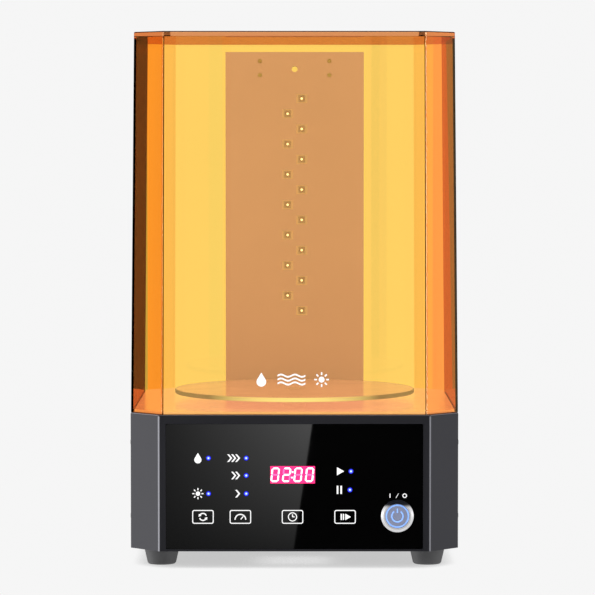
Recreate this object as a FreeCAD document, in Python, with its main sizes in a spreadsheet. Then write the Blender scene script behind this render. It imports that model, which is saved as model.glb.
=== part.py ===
import FreeCAD, Part
import math
import os
import re

import Sketcher

# A desk-top machine that washes and cures resin prints: an eight-sided metal base on four rubber
# feet, a clear turntable on a motor shaft, a column of ultraviolet lamps and a lift-off amber hood.
# Millimetres. +X is the machine's right, +Y its back, +Z up. The origin is on the table, under the
# middle of the base.

SIZES = {
    # base casing
    "base_width": 225,
    "base_depth": 216,
    "corner_cut": 20,
    "base_bottom": 12,
    "base_top": 105.3,
    "casing_wall": 2,
    "front_wall": 4,
    "corner_bend": 2,
    "top_bend": 1.2,
    # hood
    "hood_side_gap": 0.1,
    "hood_end_gap": 1,
    "hood_front_width": 180.6,
    "hood_draft": 2.7,
    "hood_wall": 2.5,
    "hood_roof": 3.6,
    "hood_top": 365.8,
    "hood_corner": 2,
    # deck inside the hood
    "deck_thick": 1.8,
    "deck_gap": 0.8,
    # control panel
    "panel_width": 175,
    "panel_bottom": 13.6,
    "panel_top": 99,
    "panel_thick": 2,
    "panel_recess": 0.2,
    "panel_gap": 0.15,
    "panel_ledge": 3.5,
    "panel_corner": 1.5,
    "board_thick": 1.6,
    "board_face": -99,
    "board_left": -83,
    "board_right": 55,
    "board_low": 24,
    "board_high": 92,
    "board_inset": 4,
    "display_x": -1.2,
    "display_z": 64.4,
    "display_wide": 30.4,
    "display_high": 14,
    "indicator_radius": 1.5,
    "touch_coil_radius": 3.4,
    "touch_wire": 0.5,
    "touch_turns": 3,
    "key_z": 35.6,
    # power switch
    "switch_x": 70.1,
    "switch_z": 36.3,
    "switch_flange": 11.1,
    "switch_flange_high": 2,
    "switch_barrel": 9.4,
    "switch_length": 24,
    "switch_bore": 8.4,
    "cap_gap": 0.1,
    "cap_recess": 0.5,
    "cap_thick": 6.3,
    "cap_stem": 3,
    "switch_seat": 13.8,
    "switch_web": 3,
    "spring_wire": 0.45,
    "spring_radius": 5.2,
    "spring_turns": 4,
    "switch_ring_width": 0.9,
    # turntable drive
    "spindle_y": -4,
    "motor_width": 42.3,
    "motor_corner": 4,
    "front_bell": 8,
    "stator_high": 20,
    "rear_bell": 9,
    "pilot_radius": 11,
    "motor_bolts": 31,
    "shaft_radius": 2.5,
    "bearing_radius": 8,
    "bearing_high": 5,
    "rotor_radius": 13,
    "rotor_gap": 0.5,
    "hub_radius": 8,
    "hub_bottom": 107.7,
    "hub_key": 9,
    "disc_radius": 85,
    "disc_bottom": 112.4,
    "disc_thick": 3,
    "disc_bevel": 0.5,
    "seal_radius": 6,
    # lamp column
    "column_width": 102,
    "column_front": 87,
    "column_back": 100,
    "column_top": 356.5,
    "column_wall": 1.5,
    "lamp_first": 322.3,
    "lamp_pitch": 22.4,
    "lamp_offset": 5.2,
    "window_wide": 8.4,
    "window_high": 6.8,
    "lamp_size": 5,
    "lamp_base_high": 1.4,
    "lens_radius": 1.7,
    "heat_bar_thick": 3,
    "cover_thick": 1.4,
    "column_foot_high": 8,
    "lamp_board_width": 30,
    "lamp_board_face": 92,
    "peep_z": 344,
    "peep_radius": 2.2,
    "rivet_x": 25.6,
    "rivet_high": 349.8,
    "rivet_low": 339.5,
    "rivet_radius": 1.6,
    # pan and feet
    "pan_bottom": 13,
    "pan_thick": 1.5,
    "pan_gap": 0.4,
    "flange_top": 92,
    "flange_half": 82,
    "foot_x": 91.6,
    "foot_y": 78,
    "foot_low_radius": 9.8,
    "foot_high_radius": 12.6,
    "foot_recess": 4.5,
    "foot_recess_high": 6,
    "foot_hole": 2.2,
    # fasteners
    "side_screw_y": 68,
    "side_screw_low": 32,
    "side_screw_high": 83,
    "side_head": 2.7,
    "side_head_high": 1.1,
    "thread": 1.5,
    "tap_fit": 0.03,
    "nut_fit": 0.05,
    "slack": 0.2,
    "post_radius": 3,
    "small_head": 2.8,
    "small_head_high": 1.8,
    "foot_head": 3.8,
    "foot_head_high": 2.4,
    "rivet_nut_length": 3.5,
    # power inlet and vents at the back
    "inlet_x": -72,
    "inlet_z": 36,
    "inlet_flange": 7.5,
    "inlet_barrel": 5.8,
    "inlet_bore": 3.2,
    "vent_x": 26,
    "vent_pitch": 7,
    "vent_low": 38,
    "vent_high": 72,
    "vent_width": 3,
}

SOLID_PARTS = []
PANEL_INDICATORS = [(-58.5, 75.8), (-58.5, 51.5), (-32.8, 75.8), (-32.8, 63.9), (-32.8, 51.5),
                    (38.5, 66.8), (37.8, 54.1)]
TOUCH_KEYS = [-62.3, -36.8, -1.3, 34.5]
LAMPS_RIGHT = 8
LAMPS_LEFT = 7
VENTS = 8

doc = FreeCAD.newDocument("WashStation")
sheet = doc.addObject("Spreadsheet::Sheet", "Sizes")
for line, (alias, size) in enumerate(SIZES.items(), 1):
    sheet.set(f"A{line}", alias)
    sheet.set(f"B{line}", str(size))
    sheet.setAlias(f"B{line}", alias)
doc.recompute()


# ---- helpers -------------------------------------------------------------------------------------

def bound(expression):
    """The expression with each size's name written as the spreadsheet's cell."""
    return re.sub(r"[a-z_]+", lambda m: "Sizes." + m[0] if m[0] in SIZES else m[0], str(expression))


def value(expression):
    return float(sheet.evalExpression(bound(expression)))


def bind(thing, prop, expression):
    thing.setExpression(prop, bound(expression))


def place(thing, x="0", y="0", z="0", turn=None):
    """Puts an object at a point worked out from the sheet, turned first if turn is given."""
    if turn:
        thing.Placement = FreeCAD.Placement(FreeCAD.Vector(), turn)
    for letter, expression in zip("xyz", (x, y, z)):
        bind(thing, f"Placement.Base.{letter}", expression)
    return thing


def keep(label, thing):
    """Names a finished sub-part and lists it for export."""
    thing.Label = label
    SOLID_PARTS.append(thing)
    return thing


def group(label, things):
    """Several separate solids as one sub-part."""
    compound = doc.addObject("Part::Compound", label)
    compound.Links = things
    return keep(label, compound)


def box(name, x, y, z, wide, deep, high):
    """A block with its lowest corner at x, y, z."""
    made = doc.addObject("Part::Box", name)
    for prop, expression in (("Length", wide), ("Width", deep), ("Height", high)):
        bind(made, prop, expression)
    return place(made, x, y, z)


TURNS = {
    "+Z": None,
    "-Z": FreeCAD.Rotation(FreeCAD.Vector(1, 0, 0), 180),
    "+Y": FreeCAD.Rotation(FreeCAD.Vector(1, 0, 0), -90),
    "-Y": FreeCAD.Rotation(FreeCAD.Vector(1, 0, 0), 90),
    "+X": FreeCAD.Rotation(FreeCAD.Vector(0, 1, 0), 90),
    "-X": FreeCAD.Rotation(FreeCAD.Vector(0, 1, 0), -90),
}


def rod(name, radius, length, x, y, z, way="+Z"):
    """A cylinder from x, y, z along way."""
    made = doc.addObject("Part::Cylinder", name)
    bind(made, "Radius", radius)
    bind(made, "Height", length)
    return place(made, x, y, z, TURNS[way])


def join(name, things):
    made = doc.addObject("Part::MultiFuse", name)
    made.Shapes = things
    return made


def cut(name, base, tools):
    tool = tools[0] if len(tools) == 1 else join(name + "_tools", tools)
    made = doc.addObject("Part::Cut", name)
    made.Base = base
    made.Tool = tool
    return made


def body(label):
    return doc.addObject("PartDesign::Body", label)


def sketch_on(owner, role, offset="0"):
    """A sketch on one of the body's own origin planes, moved along that plane's normal."""
    plane = next(f for f in owner.Origin.OriginFeatures if f.Role == role)
    made = owner.newObject("Sketcher::SketchObject", owner.Name + "_sketch")
    made.AttachmentSupport = (plane, "")
    made.MapMode = "FlatFace"
    bind(made, ".AttachmentOffset.Base.z", offset)
    return made


def outline(sketch, points):
    """A closed outline of straight lines, each corner held by its distances from the origin."""
    first = sketch.GeometryCount
    spots = [FreeCAD.Vector(value(x), value(y), 0) for x, y in points]
    count = len(points)
    for i in range(count):
        sketch.addGeometry(Part.LineSegment(spots[i], spots[(i + 1) % count]))
    for i in range(count):
        sketch.addConstraint(
            Sketcher.Constraint("Coincident", first + i, 2, first + (i + 1) % count, 1))
    for i, (x, y) in enumerate(points):
        pairs = (("DistanceX", x, spots[i].x), ("DistanceY", y, spots[i].y))
        for kind, expression, now in pairs:
            index = sketch.addConstraint(
                Sketcher.Constraint(kind, -1, 1, first + i, 1, now))
            bind(sketch, f"Constraints[{index}]", expression)
    return sketch


def circle(sketch, x, y, radius):
    index = sketch.addGeometry(
        Part.Circle(FreeCAD.Vector(value(x), value(y), 0), FreeCAD.Vector(0, 0, 1), value(radius)))
    held = (("DistanceX", x), ("DistanceY", y))
    for kind, expression in held:
        number = sketch.addConstraint(
            Sketcher.Constraint(kind, -1, 1, index, 3, value(expression)))
        bind(sketch, f"Constraints[{number}]", expression)
    number = sketch.addConstraint(Sketcher.Constraint("Radius", index, value(radius)))
    bind(sketch, f"Constraints[{number}]", radius)
    return sketch


def rectangle(sketch, left, right, low, high):
    return outline(sketch, [(left, low), (right, low), (right, high), (left, high)])


def hexagon(flat):
    """Six corners around the origin, flat being the distance from the middle to each side."""
    reach = 1 / math.cos(math.radians(30))
    return [(f"({flat}) * {reach * math.cos(math.radians(60 * i)):.5f}",
             f"({flat}) * {reach * math.sin(math.radians(60 * i)):.5f}") for i in range(6)]


def octagon(sketch, half_wide, front, back, corner):
    """Eight sides: corner is the sum of x and y along each cut corner's line."""
    points = []
    for end, reach in ((-1, front), (1, back)):
        near = f"({corner}) - ({reach})"
        side = f"({corner}) - ({half_wide})"
        row = [(f"-({half_wide})", f"{end} * ({side})"), (f"-({near})", f"{end} * ({reach})"),
               (f"({near})", f"{end} * ({reach})"), (f"({half_wide})", f"{end} * ({side})")]
        points += row if end < 0 else row[::-1]
    return outline(sketch, points)


def pad(owner, sketch, length, backwards=False):
    made = owner.newObject("PartDesign::Pad", owner.Name + "_pad")
    made.Profile = sketch
    made.Reversed = backwards
    bind(made, "Length", length)
    return made


def pocket(owner, sketch, length=None, backwards=False):
    """Cuts the sketch out to a depth, or both ways through everything."""
    made = owner.newObject("PartDesign::Pocket", owner.Name + "_pocket")
    made.Profile = sketch
    made.Reversed = backwards
    if length is None:
        made.Type = "ThroughAll"
        made.Midplane = True
    else:
        bind(made, "Length", length)
    return made


def turned(owner, points):
    """A round solid: the outline of radius and height turned about the body's Z axis."""
    sketch = outline(sketch_on(owner, "XZ_Plane"), points)
    made = owner.newObject("PartDesign::Revolution", owner.Name + "_turned")
    made.Profile = sketch
    made.ReferenceAxis = (sketch, ["V_Axis"])
    made.Angle = 360
    return made


def dress(owner, kind, feature, chosen, prop, size):
    """Fillet or chamfer on the edges of a feature that chosen(edge) picks."""
    doc.recompute()
    names = [f"Edge{i}" for i, edge in enumerate(feature.Shape.Edges, 1) if chosen(edge)]
    made = owner.newObject("PartDesign::" + kind, owner.Name + "_" + kind.lower())
    made.Base = (feature, names)
    bind(made, prop, size)
    return made


def upright(edge):
    low, high = edge.Vertexes[0].Point, edge.Vertexes[-1].Point
    return abs(high.z - low.z) > 0.8 * edge.Length and edge.Length > 10


def level_at(height):
    level = value(height)
    return lambda edge: all(abs(v.Z - level) < 0.01 for v in edge.Vertexes)


# ---- casing --------------------------------------------------------------------------------------

CORNER_SUM = "base_width / 2 + base_depth / 2 - corner_cut"
INNER_SUM = f"{CORNER_SUM} - sqrt(2) * casing_wall"
INNER_HALF = "base_width / 2 - casing_wall"
INNER_FRONT = "base_depth / 2 - front_wall"
INNER_BACK = "base_depth / 2 - casing_wall"
PANEL_FRONT = "-base_depth / 2 + panel_recess"
PANEL_REAR = "-base_depth / 2 + panel_recess + panel_thick"
COLUMN_BOLT_X = 36
COLUMN_BOLT_Y = "(column_front + column_back) / 2"
WIRE_HOLE = 4


def base_casing():
    """Painted metal casing: eight walls and a top, open below, with a window for the panel."""
    made = body("base_casing")
    sketch = octagon(sketch_on(made, "XY_Plane", "base_bottom"),
                     "base_width / 2", "base_depth / 2", "base_depth / 2", CORNER_SUM)
    block = pad(made, sketch, "base_top - base_bottom")
    block = dress(made, "Fillet", block, upright, "Radius", "corner_bend")
    dress(made, "Fillet", block, level_at("base_top"), "Radius", "top_bend")
    inside = octagon(sketch_on(made, "XY_Plane", "base_bottom"),
                     INNER_HALF, INNER_FRONT, INNER_BACK, INNER_SUM)
    pocket(made, inside, "base_top - base_bottom - casing_wall", backwards=True)
    front = "base_depth / 2"
    rebate = rectangle(sketch_on(made, "XZ_Plane", front),
                       "-panel_width / 2 - panel_gap", "panel_width / 2 + panel_gap",
                       "panel_bottom - panel_gap", "panel_top + panel_gap")
    pocket(made, rebate, "panel_recess + panel_thick")
    window = rectangle(sketch_on(made, "XZ_Plane", front),
                       "-panel_width / 2 + panel_ledge", "panel_width / 2 - panel_ledge",
                       "panel_bottom + panel_ledge", "panel_top - panel_ledge")
    pocket(made, window, "front_wall + 1")
    sides = sketch_on(made, "YZ_Plane")
    for y in ("-side_screw_y", "side_screw_y"):
        for z in ("side_screw_low", "side_screw_high"):
            circle(sides, y, z, "thread + slack")
    pocket(made, sides)
    back = sketch_on(made, "XZ_Plane", "-base_depth / 2")
    circle(back, "inlet_x", "inlet_z", "inlet_barrel + slack")
    for i in range(VENTS):
        left = f"vent_x + {i} * vent_pitch"
        rectangle(back, left, f"{left} + vent_width", "vent_low", "vent_high")
    pocket(made, back, "casing_wall + 1", backwards=True)
    top = sketch_on(made, "XY_Plane", "base_top")
    circle(top, "0", "spindle_y", "pilot_radius + slack")
    for x in (-1, 1):
        circle(top, f"{x * COLUMN_BOLT_X}", COLUMN_BOLT_Y, "thread + slack")
        for y in (-1, 1):
            circle(top, f"{x} * motor_bolts / 2", f"spindle_y + {y} * motor_bolts / 2",
                   "thread + slack")
    circle(top, "0", COLUMN_BOLT_Y, str(WIRE_HOLE))
    pocket(made, top, "casing_wall + 1")
    keep("base_casing", made)


def deck():
    """Polished metal plate that covers the casing's top and centres the hood."""
    made = body("deck_plate")
    inset = "(hood_wall + deck_gap)"
    half = f"base_width / 2 - hood_side_gap - {inset}"
    reach = f"base_depth / 2 - hood_end_gap - {inset}"
    corner = f"hood_front_width / 2 + base_depth / 2 - hood_end_gap - sqrt(2) * ({inset})"
    sketch = octagon(sketch_on(made, "XY_Plane", "base_top"), half, reach, reach, corner)
    pad(made, sketch, "deck_thick")
    holes = sketch_on(made, "XY_Plane", "base_top")
    circle(holes, "0", "spindle_y", "seal_radius")
    circle(holes, "0", COLUMN_BOLT_Y, str(WIRE_HOLE))
    for x in (-1, 1):
        circle(holes, f"{x * COLUMN_BOLT_X}", COLUMN_BOLT_Y, "thread + slack")
    pocket(made, holes, "deck_thick + 1", backwards=True)
    keep("deck_plate", made)
    ring = rod("seal_blank", "seal_radius", "deck_thick", "0", "spindle_y", "base_top")
    hole = rod("seal_hole", "shaft_radius + 0.2", "deck_thick + 2",
               "0", "spindle_y", "base_top - 1")
    keep("shaft_seal", cut("shaft_seal", ring, [hole]))


def pan():
    """Bent metal pan that closes the base from below; its side flanges take the side screws."""
    made = body("bottom_pan")
    corner = f"{INNER_SUM} - sqrt(2) * pan_gap"
    sketch = octagon(sketch_on(made, "XY_Plane", "pan_bottom"), f"{INNER_HALF} - pan_gap",
                     f"{INNER_FRONT} - pan_gap", f"{INNER_BACK} - pan_gap", corner)
    pad(made, sketch, "pan_thick")
    flanges = sketch_on(made, "XY_Plane", "pan_bottom")
    outer = f"{INNER_HALF} - pan_gap"
    for side in (-1, 1):
        edges = sorted((f"{side} * ({outer})", f"{side} * ({outer} - pan_thick)"), key=value)
        rectangle(flanges, edges[0], edges[1], "-flange_half", "flange_half")
    pad(made, flanges, "flange_top - pan_bottom")
    holes = sketch_on(made, "YZ_Plane")
    for y in ("-side_screw_y", "side_screw_y"):
        for z in ("side_screw_low", "side_screw_high"):
            circle(holes, y, z, "thread + slack")
    pocket(made, holes)
    under = sketch_on(made, "XY_Plane", "pan_bottom")
    for x in (-1, 1):
        for y in (-1, 1):
            circle(under, f"{x} * foot_x", f"{y} * foot_y", "thread + slack")
    for i in range(-3, 4):
        rectangle(under, f"{i} * vent_pitch - vent_width / 2", f"{i} * vent_pitch + vent_width / 2",
                  "-82", "-46")
    pocket(made, under, "pan_thick + 1", backwards=True)
    keep("bottom_pan", made)


def feet():
    """Four tapered rubber feet, each held by a screw in its recess."""
    for label, x, y in (("foot_front_left", -1, -1), ("foot_front_right", 1, -1),
                        ("foot_rear_left", -1, 1), ("foot_rear_right", 1, 1)):
        made = body(label)
        ground = "foot_low_radius - 0.8"
        turned(made, [("foot_recess", "0"), (ground, "0"), ("foot_low_radius", "0.8"),
                      ("foot_high_radius", "pan_bottom"), ("foot_hole", "pan_bottom"),
                      ("foot_hole", "foot_recess_high"), ("foot_recess", "foot_recess_high")])
        keep(label, place(made, f"{x} * foot_x", f"{y} * foot_y"))


def pan_screw(name, head, head_high, length, x, y, z, way):
    """A plain screw: way points from the head's underside along the shank; z is that underside."""
    turn_back = {"+Z": "-Z", "-Z": "+Z", "+Y": "-Y", "-Y": "+Y", "+X": "-X", "-X": "+X"}[way]
    shank = rod(name + "_shank", "thread", length, x, y, z, way)
    top = rod(name + "_head", head, head_high, x, y, z, turn_back)
    return join(name, [shank, top])


def domed_screw(name, head, head_high, length):
    """A button-head screw with a hex socket, its shank along +Z from the origin."""
    made = body(name)
    turned(made, [("0", f"-{head_high}"), (f"{head} * 0.55", f"-{head_high}"),
                  (f"{head} * 0.88", f"-{head_high} * 0.62"), (head, "0"), ("thread", "0"),
                  ("thread", length), ("0", length)])
    socket = outline(sketch_on(made, "XY_Plane", f"-{head_high}"), hexagon(f"{head} * 0.33"))
    pocket(made, socket, f"{head_high} * 0.75", backwards=True)
    return made


def casing_fasteners():
    """Side screws with their rivet nuts in the pan, and the screws that hold the feet."""
    screws, nuts = [], []
    for x, way in ((-1, "+X"), (1, "-X")):
        for y in (-1, 1):
            for level in ("side_screw_low", "side_screw_high"):
                name = f"side_screw_{len(screws)}"
                screw = domed_screw(name, "side_head", "side_head_high", "8")
                spot = (f"{x} * base_width / 2", f"{y} * side_screw_y", level)
                screws.append(place(screw, *spot, TURNS[way]))
                start = f"{x} * ({INNER_HALF} - pan_gap - pan_thick)"
                blank = rod(name + "_nut_blank", "post_radius", "rivet_nut_length", start,
                            spot[1], level, way)
                bore = rod(name + "_nut_bore", "thread + tap_fit", "rivet_nut_length + 1.5", start,
                           spot[1], level, way)
                nuts.append(cut(name + "_nut", blank, [bore]))
    group("side_screws", screws)
    group("side_rivet_nuts", nuts)
    group("foot_screws", [
        pan_screw(f"foot_screw_{x}_{y}", "foot_head", "foot_head_high", "12", f"{x} * foot_x",
                  f"{y} * foot_y", "foot_recess_high", "+Z")
        for x in (-1, 1) for y in (-1, 1)])


# ---- control panel -------------------------------------------------------------------------------

def panel():
    """Gloss black touch panel with a hole for the power switch."""
    made = body("front_panel")
    sketch = rectangle(sketch_on(made, "XZ_Plane", "base_depth / 2 - panel_recess"),
                       "-panel_width / 2", "panel_width / 2", "panel_bottom", "panel_top")
    sheet_pad = pad(made, sketch, "panel_thick", backwards=True)
    dress(made, "Fillet", sheet_pad,
          lambda e: abs(e.Vertexes[0].Y - e.Vertexes[-1].Y) > 1, "Radius", "panel_corner")
    hole = circle(sketch_on(made, "XZ_Plane"), "switch_x", "switch_z", "switch_barrel + slack")
    pocket(made, hole)
    keep("front_panel", made)


def spring_coil(name, radius, wire, length, turns):
    """A coil spring along +Z, a round wire swept along a helix."""
    helix = doc.addObject("Part::Helix", name + "_path")
    bind(helix, "Radius", radius)
    bind(helix, "Height", length)
    bind(helix, "Pitch", f"({length}) / {turns}")
    section = doc.addObject("Part::Circle", name + "_wire")
    bind(section, "Radius", wire)
    place(section, radius, "0", "0", FreeCAD.Rotation(FreeCAD.Vector(1, 0, 0), 90))
    made = doc.addObject("Part::Sweep", name)
    made.Sections = [section]
    doc.recompute()
    made.Spine = (helix, [f"Edge{i}" for i in range(1, len(helix.Shape.Edges) + 1)])
    made.Solid = True
    made.Frenet = True
    return made


def control_electronics():
    """Circuit board behind the panel with its display, indicator lamps and touch springs."""
    gap = f"board_face - ({PANEL_REAR})"
    board = box("control_board_blank", "board_left", "board_face", "board_low",
                "board_right - board_left", "board_thick", "board_high - board_low")
    spots = [(x, z) for x in ("board_left + board_inset", "board_right - board_inset")
             for z in ("board_low + board_inset", "board_high - board_inset")]
    holes = [rod(f"board_hole_{i}", "thread + slack", "board_thick + 2", x, "board_face - 1", z,
                 "+Y") for i, (x, z) in enumerate(spots)]
    keep("control_board", cut("control_board", board, holes))
    posts, screws = [], []
    for i, (x, z) in enumerate(spots):
        post = rod(f"post_blank_{i}", "post_radius", gap, x, PANEL_REAR, z, "+Y")
        bore = rod(f"post_bore_{i}", "thread + tap_fit", f"{gap} - 1", x, f"{PANEL_REAR} + 1.5", z,
                   "+Y")
        posts.append(cut(f"post_{i}", post, [bore]))
        screws.append(pan_screw(f"board_screw_{i}", "small_head", "small_head_high", "6",
                                x, "board_face + board_thick", z, "-Y"))
    group("board_posts", posts)
    group("board_screws", screws)
    keep("time_display", box("time_display", "display_x - display_wide / 2", f"{PANEL_REAR} + 0.1",
                             "display_z - display_high / 2", "display_wide", f"{gap} - 0.1",
                             "display_high"))
    lamps = []
    for i, (x, z) in enumerate(PANEL_INDICATORS):
        lamps.append(rod(f"indicator_{i}", "indicator_radius", f"{gap} - 0.3", str(x),
                         f"{PANEL_REAR} + 0.3", str(z), "+Y"))
    group("indicator_lamps", lamps)
    springs = []
    for i, x in enumerate(TOUCH_KEYS):
        coil = spring_coil(f"touch_spring_{i}", "touch_coil_radius", "touch_wire",
                           f"{gap} - 3 * touch_wire", "touch_turns")
        springs.append(place(coil, str(x), f"{PANEL_REAR} + 1.5 * touch_wire", "key_z",
                             TURNS["+Y"]))
    group("touch_springs", springs)


SWITCH_FACE = f"{PANEL_FRONT} - switch_flange_high"


def power_switch():
    """Round metal push switch: flanged barrel, nut, terminals, and a sprung cap with a lit ring."""
    made = body("switch_barrel")
    depth = "switch_length"
    turned(made, [
        ("switch_bore", "0"), ("switch_flange - 1.6", "0"), ("switch_flange", "1.1"),
        ("switch_flange", "switch_flange_high"), ("switch_barrel", "switch_flange_high"),
        ("switch_barrel", depth), ("switch_bore - 1", depth),
        ("switch_bore - 1", "switch_seat + switch_web"),
        ("cap_stem + slack", "switch_seat + switch_web"), ("cap_stem + slack", "switch_seat"),
        ("switch_bore", "switch_seat")])
    keep("switch_barrel", place(made, "switch_x", SWITCH_FACE, "switch_z", TURNS["+Y"]))
    nut = body("switch_nut")
    ring = outline(sketch_on(nut, "XY_Plane"), hexagon("switch_flange - 0.1"))
    circle(ring, "0", "0", "switch_barrel + nut_fit")
    pad(nut, ring, "3.5")
    keep("switch_nut", place(nut, "switch_x", PANEL_REAR, "switch_z", TURNS["+Y"]))
    rear = f"{SWITCH_FACE} + switch_length"
    block = rod("terminal_block", "switch_barrel - 1", "4", "switch_x", rear, "switch_z", "+Y")
    pins = [box(f"terminal_{i}", f"switch_x + {dx} - 0.4", f"{rear} + 4", f"switch_z + {dz} - 1.4",
                "0.8", "6", "2.8")
            for i, (dx, dz) in enumerate(((-5, 0), (5, 0), (0, 0), (-2.5, 4.5), (2.5, 4.5)))]
    keep("switch_terminals", join("switch_terminals", [block] + pins))
    cap = body("power_button_cap")
    cap_radius = "switch_bore - cap_gap"
    groove = f"{cap_radius} - 0.35"
    turned(cap, [
        ("0", "0"), (f"{groove} - switch_ring_width", "0"),
        (f"{groove} - switch_ring_width", "0.8"), (groove, "0.8"), (groove, "0"),
        (cap_radius, "0.3"), (cap_radius, "cap_thick"), ("cap_stem", "cap_thick"),
        ("cap_stem", "switch_seat + switch_web"), ("0", "switch_seat + switch_web")])
    cap_face = f"{SWITCH_FACE} + cap_recess"
    keep("power_button_cap", place(cap, "switch_x", cap_face, "switch_z", TURNS["+Y"]))
    light = body("power_button_ring")
    turned(light, [(f"{groove} - switch_ring_width", "0"), (groove, "0"), (groove, "0.8"),
                   (f"{groove} - switch_ring_width", "0.8")])
    keep("power_button_ring", place(light, "switch_x", cap_face, "switch_z", TURNS["+Y"]))
    back = "cap_recess + cap_thick"
    free = f"switch_seat - ({back}) - 2 * spring_wire - 0.2"
    coil = spring_coil("power_button_spring", "spring_radius", "spring_wire", free, "spring_turns")
    keep("power_button_spring", place(coil, "switch_x", f"{SWITCH_FACE} + {back} + spring_wire + 0.1",
                                      "switch_z", TURNS["+Y"]))


# ---- turntable drive -----------------------------------------------------------------------------

MOTOR_TOP = "base_top - casing_wall"
STATOR_TOP = f"{MOTOR_TOP} - front_bell"
STATOR_LOW = f"{STATOR_TOP} - stator_high"
MOTOR_LOW = f"{STATOR_LOW} - rear_bell"


def motor_block(label, low, high, bore):
    """A square motor section with cut corners and a round bore."""
    made = body(label)
    corner = "motor_width - motor_corner"
    sketch = octagon(sketch_on(made, "XY_Plane", low), "motor_width / 2", "motor_width / 2",
                     "motor_width / 2", corner)
    circle(sketch, "0", "0", bore)
    pad(made, sketch, f"{high} - ({low})")
    return place(made, "0", "spindle_y")


def motor():
    """Square stepper motor hung under the casing's top, with its rotor on two ball bearings."""
    front = motor_block("front_bell_block", STATOR_TOP, MOTOR_TOP, "bearing_radius")
    boss = rod("pilot", "pilot_radius", "casing_wall", "0", "spindle_y", MOTOR_TOP)
    throat = rod("pilot_hole", "shaft_radius + 0.6", "casing_wall + 2", "0", "spindle_y",
                 f"{MOTOR_TOP} - 1")
    lip = cut("pilot_ring", boss, [throat])
    taps = [rod(f"motor_tap_{x}_{y}", "thread + tap_fit", "6", f"{x} * motor_bolts / 2",
                f"spindle_y + {y} * motor_bolts / 2", f"{MOTOR_TOP} - 5")
            for x in (-1, 1) for y in (-1, 1)]
    keep("motor_front_bell", cut("motor_front_bell", join("front_bell_whole", [front, lip]), taps))
    keep("motor_stator", motor_block("motor_stator", STATOR_LOW, STATOR_TOP,
                                     "rotor_radius + rotor_gap"))
    rear = motor_block("rear_bell_block", MOTOR_LOW, STATOR_LOW, "bearing_radius")
    floor = rod("rear_floor", "bearing_radius + 1", "2", "0", "spindle_y", MOTOR_LOW)
    keep("motor_rear_bell", join("motor_rear_bell", [rear, floor]))
    for label, low in (("motor_bearing_upper", f"{MOTOR_TOP} - bearing_high"),
                       ("motor_bearing_lower", f"{MOTOR_LOW} + 2")):
        race = rod(label + "_blank", "bearing_radius", "bearing_high", "0", "spindle_y", low)
        bore = rod(label + "_bore", "shaft_radius + 0.04", "bearing_high + 2", "0", "spindle_y",
                   f"{low} - 1")
        keep(label, cut(label, race, [bore]))
    screws = []
    for x in (-1, 1):
        for y in (-1, 1):
            screws.append(rod(f"motor_screw_{x}_{y}", "thread", "casing_wall + 4.5",
                              f"{x} * motor_bolts / 2", f"spindle_y + {y} * motor_bolts / 2",
                              f"{MOTOR_TOP} - 4.5"))
    group("motor_screws", screws)


def turning_parts():
    """Rotor, shaft and hub that turn together, and the clear disc that lifts off the hub."""
    low = f"{MOTOR_LOW} + 2.5"
    top = "disc_bottom + 1"
    keep("motor_shaft", rod("motor_shaft", "shaft_radius", f"{top} - ({low})", "0", "spindle_y", low))
    blank = rod("rotor_blank", "rotor_radius", "stator_high - 1", "0", "spindle_y",
                f"{STATOR_LOW} + 0.5")
    bore = rod("rotor_bore", "shaft_radius + 0.01", "stator_high + 4", "0", "spindle_y",
               f"{STATOR_LOW} - 1")
    keep("motor_rotor", cut("motor_rotor", blank, [bore]))
    hub = body("drive_hub")
    turned(hub, [("0", "0"), ("hub_radius - 0.6", "0"), ("hub_radius", "0.6"),
                 ("hub_radius", "disc_bottom - hub_bottom"), ("0", "disc_bottom - hub_bottom")])
    key = outline(sketch_on(hub, "XY_Plane", "disc_bottom - hub_bottom"), hexagon("hub_key / 2"))
    pad(hub, key, "disc_thick - 0.3")
    bore_sketch = circle(sketch_on(hub, "XY_Plane"), "0", "0", "shaft_radius + 0.01")
    pocket(hub, bore_sketch, "disc_bottom + 1.1 - hub_bottom", backwards=True)
    screw_hole = circle(sketch_on(hub, "XZ_Plane"), "0", "2.6", "thread + tap_fit")
    pocket(hub, screw_hole, "hub_radius + 1", backwards=False)
    keep("drive_hub", place(hub, "0", "spindle_y", "hub_bottom"))
    keep("hub_set_screw", rod("hub_set_screw", "thread", "4.5", "0",
                              "spindle_y + shaft_radius + 0.1", "hub_bottom + 2.6", "+Y"))
    disc = body("turntable_disc")
    turned(disc, [("0", "0"), ("disc_radius - disc_bevel", "0"), ("disc_radius", "disc_bevel"),
                  ("disc_radius", "disc_thick - disc_bevel"),
                  ("disc_radius - disc_bevel", "disc_thick"), ("0", "disc_thick")])
    socket = outline(sketch_on(disc, "XY_Plane"), hexagon("hub_key / 2 + 0.2"))
    pocket(disc, socket, "disc_thick + 1", backwards=True)
    keep("turntable_disc", place(disc, "0", "spindle_y", "disc_bottom"))


# ---- lamp column ---------------------------------------------------------------------------------

COLUMN_FOOT = "base_top + deck_thick"
COLUMN_HALF = "column_width / 2"


def lamp_spots():
    """Centres of the staggered lamps, right-hand row first, each as x and z."""
    right = [("lamp_offset", f"lamp_first - {i} * lamp_pitch") for i in range(LAMPS_RIGHT)]
    left = [("-lamp_offset", f"lamp_first - {i + 0.5} * lamp_pitch") for i in range(LAMPS_LEFT)]
    return right + left


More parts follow.
